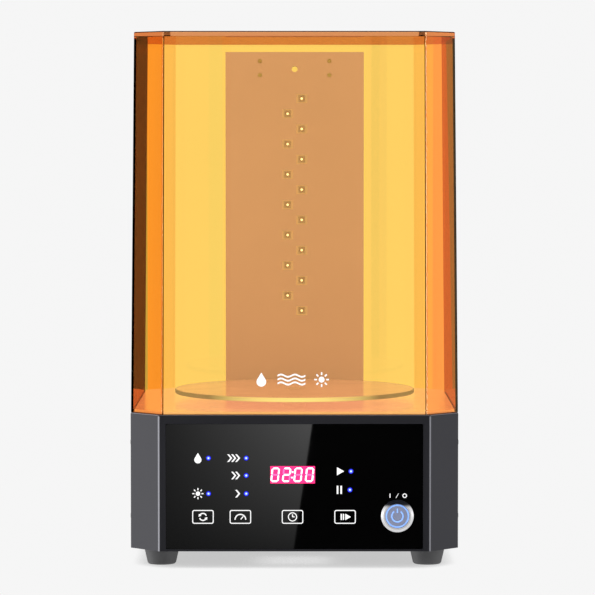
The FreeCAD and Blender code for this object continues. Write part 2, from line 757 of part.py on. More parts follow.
def column():
    """Upright channel with a window for each lamp, closed behind by a cover."""
    made = body("column_front")
    deep = "column_back - column_front"
    face = "-column_front"
    block = rectangle(sketch_on(made, "XZ_Plane", face), f"-{COLUMN_HALF}", COLUMN_HALF,
                      COLUMN_FOOT, "column_top")
    whole = pad(made, block, deep, backwards=True)
    dress(made, "Fillet", whole, lambda e: upright(e) and e.Vertexes[0].Y < value("column_front") + 1,
          "Radius", "1")
    inner = rectangle(sketch_on(made, "XZ_Plane", "-column_back"),
                      f"-{COLUMN_HALF} + column_wall", f"{COLUMN_HALF} - column_wall",
                      f"{COLUMN_FOOT} - 1", "column_top - column_wall")
    pocket(made, inner, f"{deep} - column_wall", backwards=True)
    windows = sketch_on(made, "XZ_Plane", face)
    for x, z in lamp_spots():
        rectangle(windows, f"{x} - window_wide / 2", f"{x} + window_wide / 2",
                  f"{z} - window_high / 2", f"{z} + window_high / 2")
    circle(windows, "0", "peep_z", "peep_radius")
    for x in (-1, 1):
        for z in ("rivet_high", "rivet_low"):
            circle(windows, f"{x} * rivet_x", z, "rivet_radius")
    pocket(made, windows, "column_wall + 1")
    keep("column_front", made)
    cover = box("column_cover_blank", f"-{COLUMN_HALF} + column_wall + 0.1",
                "column_back - cover_thick", f"{COLUMN_FOOT} + 0.1",
                "column_width - 2 * column_wall - 0.2", "cover_thick",
                f"column_top - column_wall - 0.2 - ({COLUMN_FOOT})")
    peep = rod("cover_peep", "peep_radius", "4", "0", "column_back - 3", "peep_z", "+Y")
    keep("column_cover", cut("column_cover", cover, [peep]))


def lamps():
    """Lamp board on its aluminium bar, with a square package and a domed lens for each lamp."""
    low = "column_wall + 20 + base_top"
    high = "rivet_low - 6"
    keep("lamp_board", box("lamp_board", "-lamp_board_width / 2", "lamp_board_face", low,
                           "lamp_board_width", "board_thick", f"{high} - ({low})"))
    keep("lamp_heat_bar", box("lamp_heat_bar", "-lamp_board_width / 2 - 5",
                              "lamp_board_face + board_thick", low, "lamp_board_width + 10",
                              "heat_bar_thick", f"{high} - ({low})"))
    packages = []
    for i, (x, z) in enumerate(lamp_spots()):
        base = box(f"lamp_base_{i}", f"{x} - lamp_size / 2", "lamp_board_face - lamp_base_high",
                   f"{z} - lamp_size / 2", "lamp_size", "lamp_base_high", "lamp_size")
        lens = doc.addObject("Part::Sphere", f"lamp_lens_{i}")
        bind(lens, "Radius", "lens_radius")
        place(lens, x, "lamp_board_face - lamp_base_high", z)
        half = box(f"lamp_cut_{i}", f"{x} - 3", "lamp_board_face - 4", f"{z} - 3", "6", "3", "6")
        dome = doc.addObject("Part::Common", f"lamp_dome_{i}")
        dome.Base = lens
        dome.Tool = half
        packages.append(join(f"lamp_{i}", [base, dome]))
    group("uv_lamps", packages)


def column_fixings():
    """Block that ties the column to the base, the plate behind its top screws, and the screws."""
    inside = f"{COLUMN_HALF} - column_wall - 0.2"
    front = "column_front + column_wall + 0.1"
    block = box("column_foot_blank", f"-({inside})", front, COLUMN_FOOT, f"2 * ({inside})",
                f"column_back - cover_thick - 0.2 - ({front})", "column_foot_high")
    taps = [rod(f"column_tap_{x}", "thread + tap_fit", "20", f"{x * COLUMN_BOLT_X}", COLUMN_BOLT_Y,
                f"{COLUMN_FOOT} - 1") for x in (-1, 1)]
    wire = rod("column_wire_way", str(WIRE_HOLE), "20", "0", COLUMN_BOLT_Y, f"{COLUMN_FOOT} - 1")
    keep("column_foot", cut("column_foot", block, taps + [wire]))
    group("column_foot_screws", [
        pan_screw(f"column_foot_screw_{x}", "small_head", "small_head_high",
                  "casing_wall + deck_thick + 7", f"{x * COLUMN_BOLT_X}", COLUMN_BOLT_Y, MOTOR_TOP,
                  "+Z") for x in (-1, 1)])
    plate = box("column_top_blank", "-rivet_x - 6", front, "rivet_low - 5", "2 * rivet_x + 12",
                "5", "rivet_high - rivet_low + 10")
    bores = [rod(f"top_bore_{x}_{z}", "1.03", "8", f"{x} * rivet_x", "column_front", z, "+Y")
             for x in (-1, 1) for z in ("rivet_high", "rivet_low")]
    peep = rod("plate_peep", "peep_radius", "20", "0", "column_front", "peep_z", "+Y")
    keep("column_top_plate", cut("column_top_plate", plate, bores + [peep]))
    screws = []
    for x in (-1, 1):
        for z in ("rivet_high", "rivet_low"):
            name = f"column_top_screw_{x}_{z}"
            shank = rod(name + "_shank", "1", "5", f"{x} * rivet_x", "column_front + 1", z, "+Y")
            head = rod(name + "_head", "rivet_radius - 0.1", "1", f"{x} * rivet_x",
                       "column_front + 0.2", z, "+Y")
            screws.append(join(name, [head, shank]))
    group("column_top_screws", screws)


# ---- hood ----------------------------------------------------------------------------------------

def drafted_octagon(name, low, high, inset):
    """A block of the hood's outline, set in by inset, whose eight walls lean in as they rise."""
    made = body(name)
    half = f"base_width / 2 - hood_side_gap - ({inset})"
    reach = f"base_depth / 2 - hood_end_gap - ({inset})"
    corner = f"hood_front_width / 2 + base_depth / 2 - hood_end_gap - sqrt(2) * ({inset})"
    block = pad(made, octagon(sketch_on(made, "XY_Plane", low), half, reach, reach, corner),
                f"({high}) - ({low})")
    doc.recompute()
    faces = [(f"Face{i}", face) for i, face in enumerate(block.Shape.Faces, 1)]
    walls = [label for label, face in faces if abs(face.normalAt(0, 0).z) < 0.5]
    under = next(label for label, face in faces if face.normalAt(0, 0).z < -0.5)
    leaning = made.newObject("PartDesign::Draft", name + "_draft")
    leaning.Base = (block, walls)
    leaning.NeutralPlane = (block, [under])
    bind(leaning, "Angle", "atan(hood_draft / (hood_top - base_top))")
    return made, leaning


def hood():
    """Moulded amber hood: eight walls with a little draft, closed on top and open below."""
    outside, leaning = drafted_octagon("hood_outside", "base_top", "hood_top", "0")
    rounded = dress(outside, "Fillet", leaning, upright, "Radius", "hood_corner")
    dress(outside, "Fillet", rounded, level_at("hood_top"), "Radius", "0.8")
    inside, _ = drafted_octagon("hood_inside", "base_top - 1", "hood_top - hood_roof", "hood_wall")
    keep("amber_hood", cut("amber_hood", outside, [inside]))


# ---- power and wiring ----------------------------------------------------------------------------

DRIVER = {"left": -98, "front": 34, "low": 20, "wide": 84, "deep": 58}
SOCKET_START = 14
SOCKET_PITCH = 12
SOCKET_WIDE = 9


def driver_electronics():
    """Driver board on four posts in the pan, with its larger components."""
    left, front, low = DRIVER["left"], DRIVER["front"], DRIVER["low"]
    wide, deep = DRIVER["wide"], DRIVER["deep"]
    board = box("driver_blank", str(left), str(front), str(low), str(wide), str(deep), "board_thick")
    spots = [(left + dx, front + dy) for dx in (5, wide - 5) for dy in (5, deep - 5)]
    holes = [rod(f"driver_hole_{i}", "thread + slack", "6", str(x), str(y), str(low - 2))
             for i, (x, y) in enumerate(spots)]
    keep("driver_board", cut("driver_board", board, holes))
    floor = "pan_bottom + pan_thick"
    posts, screws = [], []
    for i, (x, y) in enumerate(spots):
        blank = rod(f"driver_post_blank_{i}", "post_radius", f"{low} - ({floor})", str(x), str(y),
                    floor)
        bore = rod(f"driver_post_bore_{i}", "thread + tap_fit", "6", str(x), str(y), f"{floor} + 1")
        posts.append(cut(f"driver_post_{i}", blank, [bore]))
        screws.append(pan_screw(f"driver_screw_{i}", "small_head", "small_head_high", "5", str(x),
                                str(y), f"{low} + board_thick", "-Z"))
    group("driver_posts", posts)
    group("driver_screws", screws)
    top = f"{low} + board_thick"
    pieces = [rod(f"capacitor_{i}", "5", "16", str(x), str(y), top)
              for i, (x, y) in enumerate(((left + 20, front + 40), (left + 34, front + 40)))]
    pieces.append(box("inductor", str(left + 46), str(front + 34), top, "12", "12", "8"))
    pieces.append(box("driver_chip", str(left + 36), str(front + 14), top, "14", "14", "2"))
    for i in range(5):
        pieces.append(box(f"socket_{i}", str(left + SOCKET_START + SOCKET_PITCH * i), str(front + 2),
                          top, str(SOCKET_WIDE), "7", "7"))
    group("driver_components", pieces)


def power_inlet():
    """Threaded low-voltage inlet through the back wall, with its nut and centre pin."""
    made = body("power_inlet")
    turned(made, [
        ("1", "-18"), ("inlet_barrel", "-18"), ("inlet_barrel", "0"), ("inlet_flange", "0"),
        ("inlet_flange", "1.4"), ("inlet_flange - 0.6", "2"), ("inlet_bore", "2"),
        ("inlet_bore", "-10"), ("1", "-10")])
    pin = sketch_on(made, "XY_Plane", "-18")
    circle(pin, "0", "0", "1")
    pad(made, pin, "17")
    keep("power_inlet", place(made, "inlet_x", "base_depth / 2", "inlet_z", TURNS["+Y"]))
    nut = body("inlet_nut")
    ring = outline(sketch_on(nut, "XY_Plane"), hexagon("inlet_flange"))
    circle(ring, "0", "0", "inlet_barrel + nut_fit")
    pad(nut, ring, "3")
    keep("inlet_nut", place(nut, "inlet_x", INNER_BACK, "inlet_z", TURNS["-Y"]))


def wire(label, radius, points):
    """A lead along straight runs joined by tangent arcs, as wide as its runs allow."""
    spots = [FreeCAD.Vector(*(value(c) for c in p)) for p in points]
    edges, start, bends = [], spots[0], []
    for before, here, after in zip(spots, spots[1:], spots[2:]):
        back, on = (before - here).normalize(), (after - here).normalize()
        half = back.getAngle(on) / 2
        run = 0.45 * min((before - here).Length, (after - here).Length)
        bend = run * math.tan(half)
        bends.append(round(bend, 1))
        middle = here + (back + on).normalize() * (run / math.cos(half) - bend)
        first, last = here + back * run, here + on * run
        if (first - start).Length > 1e-6:
            edges.append(Part.LineSegment(start, first).toShape())
        edges.append(Part.Arc(first, middle, last).toShape())
        start = last
    edges.append(Part.LineSegment(start, spots[-1]).toShape())
    path = Part.Wire(edges)
    size = value(radius)
    section = Part.Wire(Part.Circle(spots[0], spots[1] - spots[0], size).toShape())
    made = doc.addObject("Part::Feature", label)
    made.Shape = path.makePipeShell([section], True, True)
    print(label, "radii", bends, "volume", round(made.Shape.Volume, 2), "expected",
          round(math.pi * size ** 2 * path.Length, 2))
    return keep(label, made)


def wiring():
    """Leads between the boards, the motor, the lamps, the switch and the inlet."""
    socket = DRIVER["front"] + 2
    above = DRIVER["low"] + 1.6 + 7.2

    def plug(i):
        """The middle of a socket, from left to right."""
        return DRIVER["left"] + SOCKET_START + SOCKET_PITCH * i + SOCKET_WIDE / 2

    wire("motor_lead", "1.6", [
        ("-motor_width / 2 - 1", "spindle_y", f"{MOTOR_LOW} + 5"), ("-40", "4", "62"),
        (plug(4) + 4, "30", "50"), (plug(4), socket + 3.5, "40"), (plug(4), socket + 3.5, above)])
    wire("lamp_lead", "1.6", [
        ("0", COLUMN_BOLT_Y, f"{COLUMN_FOOT} + 14"), ("0", COLUMN_BOLT_Y, "96"),
        ("-6", "84", "76"), (plug(3) + 6, "60", "52"), (plug(3), socket + 3.5, "42"),
        (plug(3), socket + 3.5, above)])
    wire("panel_lead", "1.8", [
        ("-20", "board_face + board_thick + 0.2", "40"), ("-20", "-84", "41"), ("-34", "-50", "36"),
        (plug(2), "-14", "44"), (plug(2), socket - 22, "54"), (plug(2), socket + 3.5, "55"),
        (plug(2), socket + 3.5, above)])
    wire("switch_lead", "1.5", [
        ("switch_x", f"{SWITCH_FACE} + switch_length + 10.2", "switch_z"),
        ("switch_x", "-60", "switch_z"), ("50", "-42", "34"), ("18", "-36", "30"),
        ("-22", "-30", "29"), ("-54", "-12", "38"), (plug(1), socket - 22, "52"),
        (plug(1), socket + 3.5, "53"), (plug(1), socket + 3.5, above)])
    wire("inlet_lead", "1.5", [
        ("inlet_x", "base_depth / 2 - 18.6", "inlet_z"), ("inlet_x", "82", "inlet_z + 2"),
        ("inlet_x - 10", "66", "48"), (plug(0), "48", "50"), (plug(0), socket + 3.5, "42"),
        (plug(0), socket + 3.5, above)])


# ---- build, check and export ---------------------------------------------------------------------

def check():
    """Stops with a plain message if any object failed or any sub-part isn't a valid solid."""
    doc.recompute()
    for thing in doc.Objects:
        if {"Invalid", "Error"} & set(thing.State):
            raise RuntimeError(f"{thing.Label} failed: {thing.State}")
    for thing in SOLID_PARTS:
        shape = thing.Shape
        if shape.isNull() or not shape.isValid() or not shape.Solids or shape.Volume <= 0:
            raise RuntimeError(f"{thing.Label} has no valid solid")


def export():
    os.makedirs("parts", exist_ok=True)
    for old in os.listdir("parts"):
        if old.endswith(".step"):
            os.remove(os.path.join("parts", old))
    for thing in SOLID_PARTS:
        thing.Shape.exportStep(os.path.join("parts", thing.Label + ".step"))
    print(len(SOLID_PARTS), "sub-parts")


for make in (base_casing, deck, pan, feet, casing_fasteners, panel, control_electronics,
             power_switch, motor, turning_parts, column, lamps, column_fixings, hood,
             driver_electronics, power_inlet, wiring):
    make()
check()
export()
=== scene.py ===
import math

import bmesh
import bpy
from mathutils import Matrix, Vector


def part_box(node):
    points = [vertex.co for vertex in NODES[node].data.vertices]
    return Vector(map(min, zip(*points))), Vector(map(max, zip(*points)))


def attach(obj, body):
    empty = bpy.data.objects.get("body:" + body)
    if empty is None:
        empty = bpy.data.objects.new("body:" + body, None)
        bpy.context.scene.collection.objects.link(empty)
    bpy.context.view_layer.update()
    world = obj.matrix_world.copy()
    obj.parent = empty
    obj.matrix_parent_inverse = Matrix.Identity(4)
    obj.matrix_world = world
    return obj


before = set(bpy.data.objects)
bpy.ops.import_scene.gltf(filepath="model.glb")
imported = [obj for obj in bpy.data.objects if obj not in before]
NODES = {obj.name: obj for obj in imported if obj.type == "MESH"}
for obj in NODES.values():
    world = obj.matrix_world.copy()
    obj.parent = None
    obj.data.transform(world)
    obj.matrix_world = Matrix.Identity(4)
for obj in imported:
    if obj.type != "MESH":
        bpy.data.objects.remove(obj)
bpy.context.view_layer.update()

MM = 0.001
casing_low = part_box("base_casing")[0]
lamp_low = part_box("uv_lamps")[0]
panel_low, panel_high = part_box("front_panel")
hood_low, hood_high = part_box("amber_hood")
disc_low, disc_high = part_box("turntable_disc")
cap_low, cap_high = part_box("power_button_cap")
SWITCH_X = (cap_low.x + cap_high.x) / 2 / MM
SWITCH_Z = (cap_low.z + cap_high.z) / 2 / MM

PAGE_WHITE = 0.92
FILL_LIGHT = 1.3
ROOM_LIGHT = 0.45
LIGHT_BEHIND_HOOD = 1.064
# colour of a painted glow, standing in for lamp light bounced onto metal
PAINTED_LAMP_GLOW = (1.0, 0.44, 0.56, 1.0)


# ---- camera --------------------------------------------------------------------------------------

CAMERA_AHEAD = 2.15
CAMERA_X, CAMERA_Z = 0.0021, 0.2953
CAMERA_DIP = 2.93
LENS = 191.9


def make_camera():
    """Straight in front, level with the hood's upper half and tipped down, with a long lens."""
    camera = bpy.data.objects.new("camera", bpy.data.cameras.new("camera"))
    bpy.context.scene.collection.objects.link(camera)
    bpy.context.scene.camera = camera
    camera.data.sensor_width = 36
    camera.data.lens = LENS
    camera.data.clip_start = 0.05
    camera.data.clip_end = 50
    camera.location = (CAMERA_X, casing_low.y - CAMERA_AHEAD, CAMERA_Z)
    camera.rotation_euler = (math.radians(90 - CAMERA_DIP), 0, 0)


# ---- node helpers --------------------------------------------------------------------------------

def add(tree, kind, props=None, **inputs):
    """A shader node. Each input is a number, a colour or another node's output."""
    node = tree.nodes.new("ShaderNode" + kind)
    for key, setting in (props or {}).items():
        setattr(node, key, setting)
    for key, given in inputs.items():
        socket = node.inputs[int(key[1:])] if key[0] == "_" else node.inputs[key.replace("_", " ")]
        if isinstance(given, bpy.types.NodeSocket):
            tree.links.new(given, socket)
        else:
            socket.default_value = given
    return node


def maths(tree, operation, *values):
    inputs = {f"_{i}": v for i, v in enumerate(values)}
    return add(tree, "Math", {"operation": operation}, **inputs).outputs[0]


def span(tree, given, low, high, to_low=0.0, to_high=1.0, smooth=False):
    """A value moved from one range to another, held at the ends."""
    node = add(tree, "MapRange", {"interpolation_type": "SMOOTHSTEP" if smooth else "LINEAR"},
               _0=given, _1=low, _2=high, _3=to_low, _4=to_high)
    return node.outputs[0]


def blend_colours(tree, factor, first, second):
    node = add(tree, "Mix", {"data_type": "RGBA"}, _0=factor, _6=first, _7=second)
    return node.outputs[2]


def colour(red, green, blue):
    return (red, green, blue, 1.0)


def places(tree):
    """Coordinates in metres in the object's own frame."""
    return add(tree, "TexCoord").outputs["Object"]


def noise(tree, where, scale, detail=2.0, rough=0.5):
    return add(tree, "TexNoise", Vector=where, Scale=scale, Detail=detail,
               Roughness=rough).outputs[0]


def bump(tree, height, strength, depth):
    return add(tree, "Bump", Strength=strength, Distance=depth, Height=height).outputs[0]


def ramp(tree, factor, stops, stepped=False):
    """A colour that changes along factor, from pairs of position and colour."""
    node = add(tree, "ValToRGB", Fac=factor)
    if stepped:
        node.color_ramp.interpolation = "CONSTANT"
    elements = node.color_ramp.elements
    for i, (spot, tint) in enumerate(stops):
        stop = elements[i] if i < 2 else elements.new(spot)
        stop.position, stop.color = spot, tint
    return node.outputs[0]


def plain(name, **inputs):
    """A Principled material with these inputs. Returns the material, its tree and its shader."""
    made = bpy.data.materials.new(name)
    made.use_nodes = True
    shader = made.node_tree.nodes["Principled BSDF"]
    for key, given in inputs.items():
        shader.inputs[key.replace("_", " ")].default_value = given
    return made, made.node_tree, shader


def drive(tree, shader, **sources):
    for key, source in sources.items():
        tree.links.new(source, shader.inputs[key.replace("_", " ")])


def lobe(tree, way, toward, inner, outer):
    """How near a direction is to toward: 1 within inner degrees, falling to 0 at outer."""
    aim = Vector(toward).normalized()
    near = add(tree, "VectorMath", {"operation": "DOT_PRODUCT"}, _0=way, _1=tuple(aim))
    return span(tree, near.outputs["Value"], math.cos(math.radians(outer)),
                math.cos(math.radians(inner)), smooth=True)


# ---- materials -----------------------------------------------------------------------------------

def painted(name, dark, light, roughness, grain, sheen=(1.0, 1.0, 1.0, 1.0), highlight_bends=()):
    """Powder paint: an orange-peel grain, a drift of tone, uneven sheen, and painted highlights,
    pale paint where the surface faces one of the listed bends, each a direction and a strength."""
    made, tree, shader = plain(name, Specular_IOR_Level=0.5, Specular_Tint=sheen)
    where = places(tree)
    slow = noise(tree, where, 9.0, 3.0)
    fine = noise(tree, where, grain, 3.0, 0.6)
    tone = maths(tree, "ADD", maths(tree, "MULTIPLY", slow, 0.65), maths(tree, "MULTIPLY", fine, 0.35))
    shade = blend_colours(tree, span(tree, tone, 0.35, 0.65), dark, light)
    facing = add(tree, "NewGeometry").outputs["Normal"]
    for toward, strength in highlight_bends:
        # painted highlight: the paint turns pale where the normal faces this bend direction
        painted_highlight = maths(tree, "MULTIPLY", lobe(tree, facing, toward, 12, 19), strength)
        shade = blend_colours(tree, painted_highlight, shade, colour(0.86, 0.86, 0.94))
    drive(tree, shader,
          Base_Color=shade,
          Roughness=span(tree, fine, 0.25, 0.75, roughness - 0.05, roughness + 0.06),
          Normal=bump(tree, fine, 0.12, 0.00012))
    return made


def moulded(name, dark, light, roughness, grain=1500.0, relief=0.00008):
    """Moulded plastic or rubber with a fine grain."""
    made, tree, shader = plain(name)
    where = places(tree)
    fine = noise(tree, where, grain, 4.0, 0.65)
    cloud = noise(tree, where, 60.0, 3.0)
    drive(tree, shader,
          Base_Color=blend_colours(tree, span(tree, cloud, 0.3, 0.7), dark, light),
          Roughness=span(tree, maths(tree, "ADD", fine, cloud), 0.7, 1.3,
                         roughness - 0.07, roughness + 0.07),
          Normal=bump(tree, fine, 0.25, relief))
    return made


def gloss(name, tone, roughness):
    """Polished black plastic with the faintest haze where it has been wiped."""
    made, tree, shader = plain(name, IOR=1.49)
    where = places(tree)
    wiped = add(tree, "Mapping", _0=where, _3=(14.0, 14.0, 60.0)).outputs[0]
    haze = noise(tree, wiped, 1.0, 4.0, 0.6)
    drive(tree, shader,
          Base_Color=blend_colours(tree, haze, colour(tone * 0.8, tone * 0.8, tone * 0.85),
                                   colour(tone * 1.2, tone * 1.2, tone * 1.25)),
          Roughness=span(tree, haze, 0.4, 0.75, roughness, roughness + 0.012))
    return made


def metal(name, tint, roughness, streaks=(900.0, 900.0, 40.0), metallic=1.0, lit=0.0):
    """Bare or plated metal with drawn streaks; lit paints in a glow that stands in for the light of
    lamps close by.
    """
    # painted glow: emission of strength lit in the painted lamp colour
    made, tree, shader = plain(name, Metallic=metallic, Emission_Strength=lit,
                               Emission_Color=PAINTED_LAMP_GLOW)
    where = places(tree)
    stretched = add(tree, "Mapping", _0=where, _3=streaks).outputs[0]
    lines = noise(tree, stretched, 1.0, 4.0, 0.7)
    cloud = noise(tree, where, 80.0, 2.0)
    darker = colour(*(channel * 0.9 for channel in tint))
    drive(tree, shader,
          Base_Color=blend_colours(tree, span(tree, cloud, 0.3, 0.7), darker, colour(*tint)),
          Roughness=span(tree, lines, 0.3, 0.7, roughness - 0.05, roughness + 0.08),
          Normal=bump(tree, lines, 0.15, 0.00005))
    return made


def turned_metal(name, tint, roughness, centre, pitch, relief, metallic=1.0, shadow_from=100.0):
    """Metal with fine rings round an axis along Y through centre, as a lathe leaves them, with painted
    shade, near black, from shadow_from millimetres above the centre."""
    made, tree, shader = plain(name, Metallic=metallic)
    where = places(tree)
    parts = add(tree, "SeparateXYZ", _0=where)
    across = maths(tree, "SUBTRACT", parts.outputs[0], centre[0])
    up = maths(tree, "SUBTRACT", parts.outputs[2], centre[1])
    squares = maths(tree, "ADD", maths(tree, "MULTIPLY", across, across),
                    maths(tree, "MULTIPLY", up, up))
    radius = maths(tree, "SQRT", squares)
    rings = add(tree, "TexNoise", {"noise_dimensions": "1D"}, W=radius, Scale=1 / pitch,
                Detail=3.0).outputs[0]
    darker = colour(*(channel * 0.82 for channel in tint))
    shade = blend_colours(tree, span(tree, rings, 0.3, 0.7), darker, colour(*tint))
    # painted shade: the colour turns near black above shadow_from
    shadow = span(tree, up, shadow_from * MM, (shadow_from + 2.6) * MM, 0.0, 0.99, smooth=True)
    drive(tree, shader,
          Base_Color=blend_colours(tree, shadow, shade, colour(0.010, 0.012, 0.02)),
          Roughness=span(tree, rings, 0.3, 0.7, roughness - 0.04, roughness + 0.06),
          Normal=bump(tree, rings, 0.3, relief))
    return made


def amber():
    """Clear amber acrylic: each face takes blue out of the light, and more of it at a slant."""
    made = bpy.data.materials.new("amber_acrylic")
    made.use_nodes = True
    tree = made.node_tree
    tree.nodes.clear()
    slant = add(tree, "LayerWeight", Blend=0.5).outputs["Facing"]
    tint = ramp(tree, slant, (
        (0.0, colour(1.0, 0.895, 0.60)), (0.12, colour(1.0, 0.89, 0.595)),
        (0.29, colour(1.0, 0.70, 0.36)), (0.80, colour(0.86, 0.42, 0.30)),
        (0.93, colour(0.72, 0.36, 0.30))))
    drift = span(tree, noise(tree, places(tree), 5.0, 3.0), 0.3, 0.7, 0.992, 1.0)
    shade = add(tree, "VectorMath", {"operation": "SCALE"}, _0=tint, _3=drift).outputs[0]
    glass = add(tree, "BsdfGlass", Color=shade, Roughness=0.0, IOR=1.45)
    light = add(tree, "LightPath")
    passing = maths(tree, "MAXIMUM", light.outputs["Is Shadow Ray"], light.outputs["Is Diffuse Ray"])
    clear = add(tree, "BsdfTransparent", Color=colour(1.0, 0.78, 0.69))
    mixed = add(tree, "MixShader", _0=passing, _1=glass.outputs[0], _2=clear.outputs[0])
    add(tree, "OutputMaterial", Surface=mixed.outputs[0])
    return made


def clear_acrylic():
    """Clear acrylic, faintly cloudy, with a painted glow along its rim, most of all at the front."""
    made = bpy.data.materials.new("clear_acrylic")
    made.use_nodes = True
    tree = made.node_tree
    tree.nodes.clear()
    where = places(tree)
    fine = noise(tree, where, 45.0, 5.0, 0.7)
    glass = add(tree, "BsdfGlass", Color=colour(0.97, 0.98, 0.975), IOR=1.49, Roughness=0.0)
    light = add(tree, "LightPath")
    passing = maths(tree, "MAXIMUM", light.outputs["Is Shadow Ray"], light.outputs["Is Diffuse Ray"])
    clear = add(tree, "BsdfTransparent", Color=colour(0.95, 0.96, 0.96))
    mixed = add(tree, "MixShader", _0=passing, _1=glass.outputs[0], _2=clear.outputs[0])
    cloudy = add(tree, "BsdfDiffuse", Color=colour(1.0, 0.86, 0.92))
    mixed = add(tree, "MixShader", _0=span(tree, fine, 0.2, 0.8, 0.32, 0.42), _1=mixed.outputs[0],
                _2=cloudy.outputs[0])
    middle = ((disc_low.x + disc_high.x) / 2, (disc_low.y + disc_high.y) / 2, 0)
    offset = add(tree, "VectorMath", {"operation": "SUBTRACT"}, _0=where, _1=middle).outputs[0]
    flat = add(tree, "VectorMath", {"operation": "MULTIPLY"}, _0=offset, _1=(1, 1, 0)).outputs[0]
    out = add(tree, "VectorMath", {"operation": "LENGTH"}, _0=flat).outputs["Value"]
    reach = (disc_high.x - disc_low.x) / 2
    # painted glow on the rim, strongest at the front, a stand-in for light the edge gathers
    rim = span(tree, out, reach - 0.0007, reach - 0.0003)
    depth = add(tree, "SeparateXYZ", _0=offset).outputs[1]
    strength = span(tree, depth, -reach, -reach * 0.72, 1.25, 0.25)
    glow = add(tree, "Emission", Color=colour(1.0, 0.97, 0.62), Strength=strength)
    mixed = add(tree, "MixShader", _0=maths(tree, "MULTIPLY", rim, 0.75), _1=mixed.outputs[0],
                _2=glow.outputs[0])
    add(tree, "OutputMaterial", Surface=mixed.outputs[0])
    return made


def glowing(name, tint, strength, shade=0.7):
    """A lit plastic face, a little uneven."""
    made, tree, shader = plain(name, Roughness=0.3, Emission_Strength=strength)
    cloud = noise(tree, places(tree), 220.0, 2.0)
    darker = colour(*(channel * shade for channel in tint))
    lit = blend_colours(tree, span(tree, cloud, 0.3, 0.7), darker, colour(*tint))
    drive(tree, shader, Base_Color=lit, Emission_Color=lit)
    return made


def indicator_lens(radius):
    """A blue lamp: white-hot in the middle, fading to deep blue at its rim."""
    made, tree, shader = plain("indicator_lens", Roughness=0.25, Emission_Strength=1.0)
    where = add(tree, "SeparateXYZ", _0=places(tree))
    across, up = where.outputs[0], where.outputs[2]
    squares = maths(tree, "ADD", maths(tree, "MULTIPLY", across, across),
                    maths(tree, "MULTIPLY", up, up))
    out = maths(tree, "DIVIDE", maths(tree, "SQRT", squares), radius)
    blue = ramp(tree, out, (
        (0.0, colour(0.75, 0.85, 1.0)), (1.0, colour(0.0, 0.0, 0.05)), (0.3, colour(0.25, 0.4, 1.0)),
        (0.62, colour(0.012, 0.02, 0.95)), (0.86, colour(0.004, 0.006, 0.45))))
    drive(tree, shader, Base_Color=blue, Emission_Color=blue)
    return made


def lamp_package():
    """Ultraviolet lamp: a pale ceramic base and a lens that glows."""
    made, tree, shader = plain("lamp_package", Roughness=0.35)
    where = places(tree)
    depth = add(tree, "SeparateXYZ", _0=where).outputs[1]
    lens = span(tree, depth, lamp_low.y + 0.00035, lamp_low.y + 0.00015)
    cloud = noise(tree, where, 500.0, 2.0)
    base = blend_colours(tree, cloud, colour(0.72, 0.70, 0.62), colour(0.85, 0.84, 0.78))
    drive(tree, shader,
          Base_Color=blend_colours(tree, lens, base, colour(0.9, 0.9, 0.8)),
          Emission_Color=blend_colours(tree, lens, colour(0, 0, 0), colour(1.0, 0.95, 0.8)),
          Emission_Strength=maths(tree, "MULTIPLY", lens, 1.5))
    return made


def circuit(name, mask, copper, lit=0.0):
    """Solder mask over copper tracks; lit paints in a glow that stands in for the light it catches
    from its own lamps.
    """
    # painted glow: the board's colour given off as light at strength lit
    made, tree, shader = plain(name, Roughness=0.35, Emission_Strength=lit)
    where = places(tree)
    tracks = add(tree, "TexBrick", Vector=where, Scale=180.0, Mortar_Size=0.06,
                 Color1=mask, Color2=mask, Mortar=copper).outputs[0]
    cloud = noise(tree, where, 300.0, 2.0)
    drive(tree, shader, Base_Color=tracks, Emission_Color=tracks,
          Roughness=span(tree, cloud, 0.3, 0.7, 0.3, 0.42))
    return made


def ink_with_painted_glow():
    """White screen-printed ink, brightened by a painted glow."""
    # painted glow: the ink gives off its own colour as light
    made, tree, shader = plain("white_print", Roughness=0.5, Emission_Strength=0.35)
    cloud = noise(tree, places(tree), 900.0, 2.0)
    ink = blend_colours(tree, cloud, colour(0.80, 0.80, 0.80), colour(0.92, 0.92, 0.92))
    drive(tree, shader, Base_Color=ink, Emission_Color=ink)
    return made


